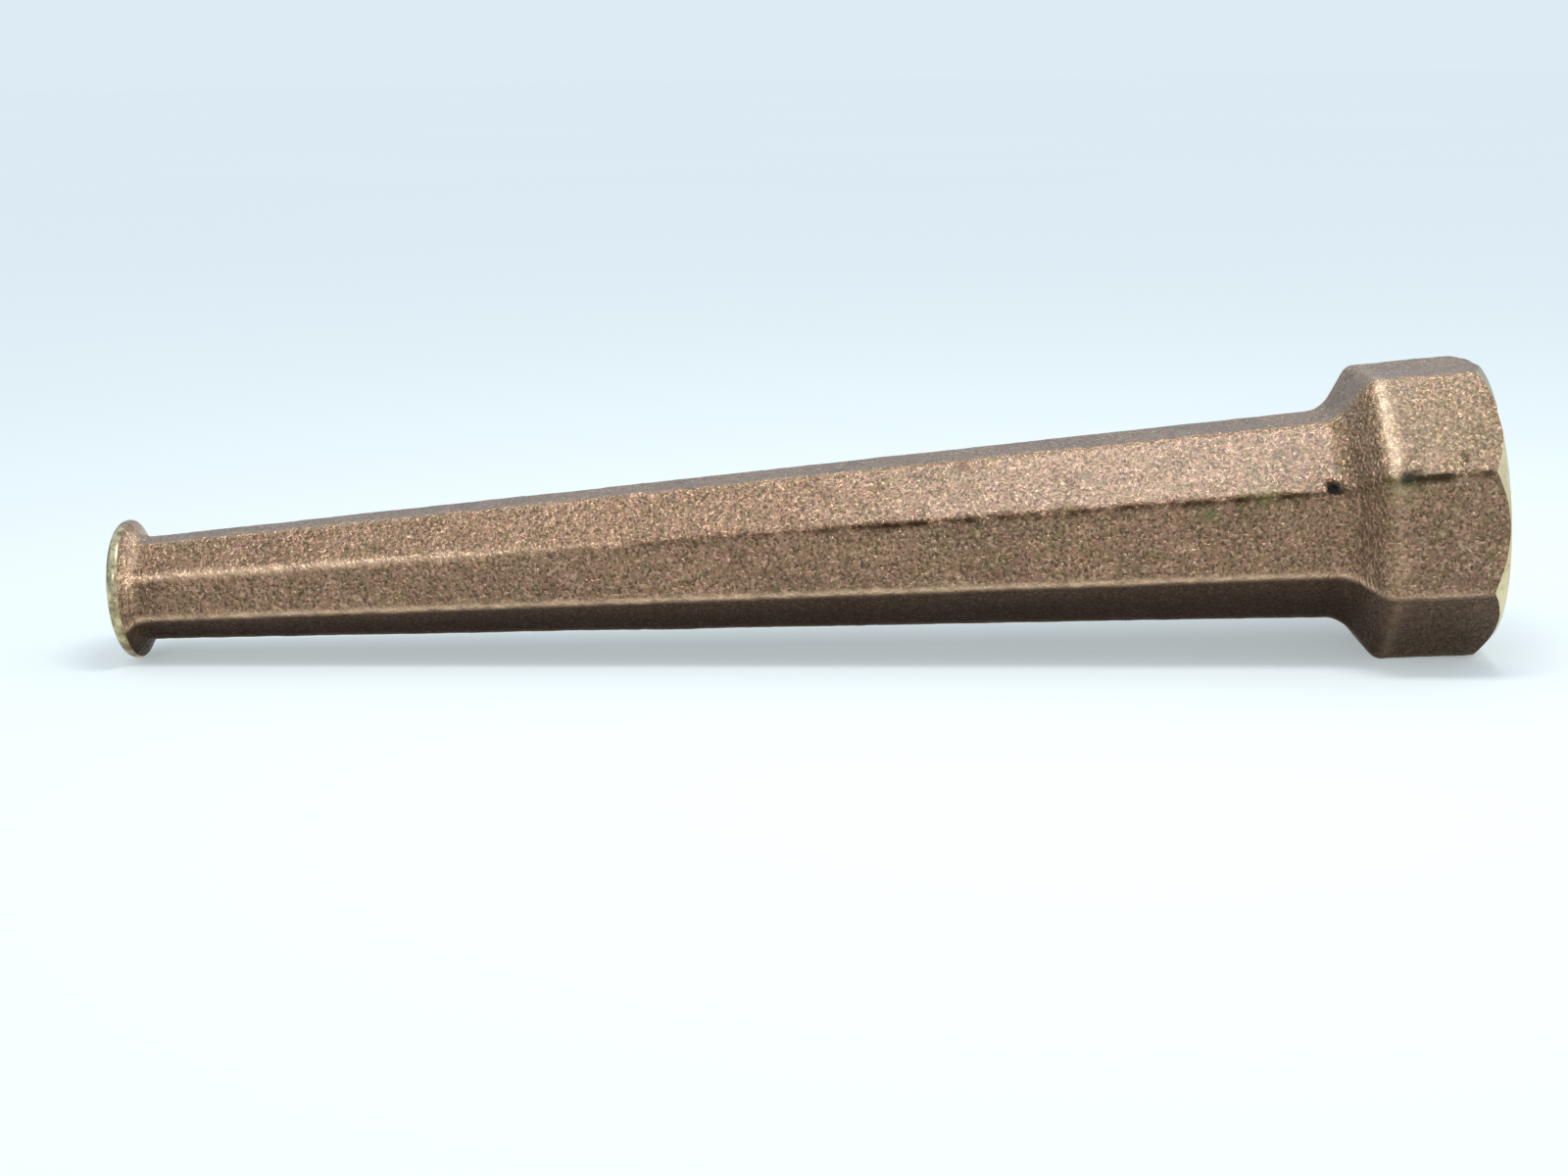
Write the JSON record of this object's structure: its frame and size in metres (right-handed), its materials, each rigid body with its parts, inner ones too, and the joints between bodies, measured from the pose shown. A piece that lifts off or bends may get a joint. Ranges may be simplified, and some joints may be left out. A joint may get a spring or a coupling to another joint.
{
  "type": "hose nozzle",
  "caption": "Octagonal cast bronze straight-stream hose nozzle: tapered body, beaded tip, spanner hub with internal hose thread and a flat rubber washer.",
  "frame": {"origin": "centre of the inlet's end face, on the waterway's axis", "axes": "+X along the waterway's axis out of the inlet, towards the hose; the tip is at -X; +Z is the outward normal of one of the octagon's flats"},
  "size_m": [0.2032, 0.0424, 0.0425],
  "materials": {
    "cast_bronze": "sand-cast skin, rough, with bright turned faces at both ends",
    "washer_rubber": "matt"
  },
  "bodies": {
    "root": {"nozzle_body": "cast_bronze", "hose_washer": "washer_rubber"}
  },
  "joints": []
}
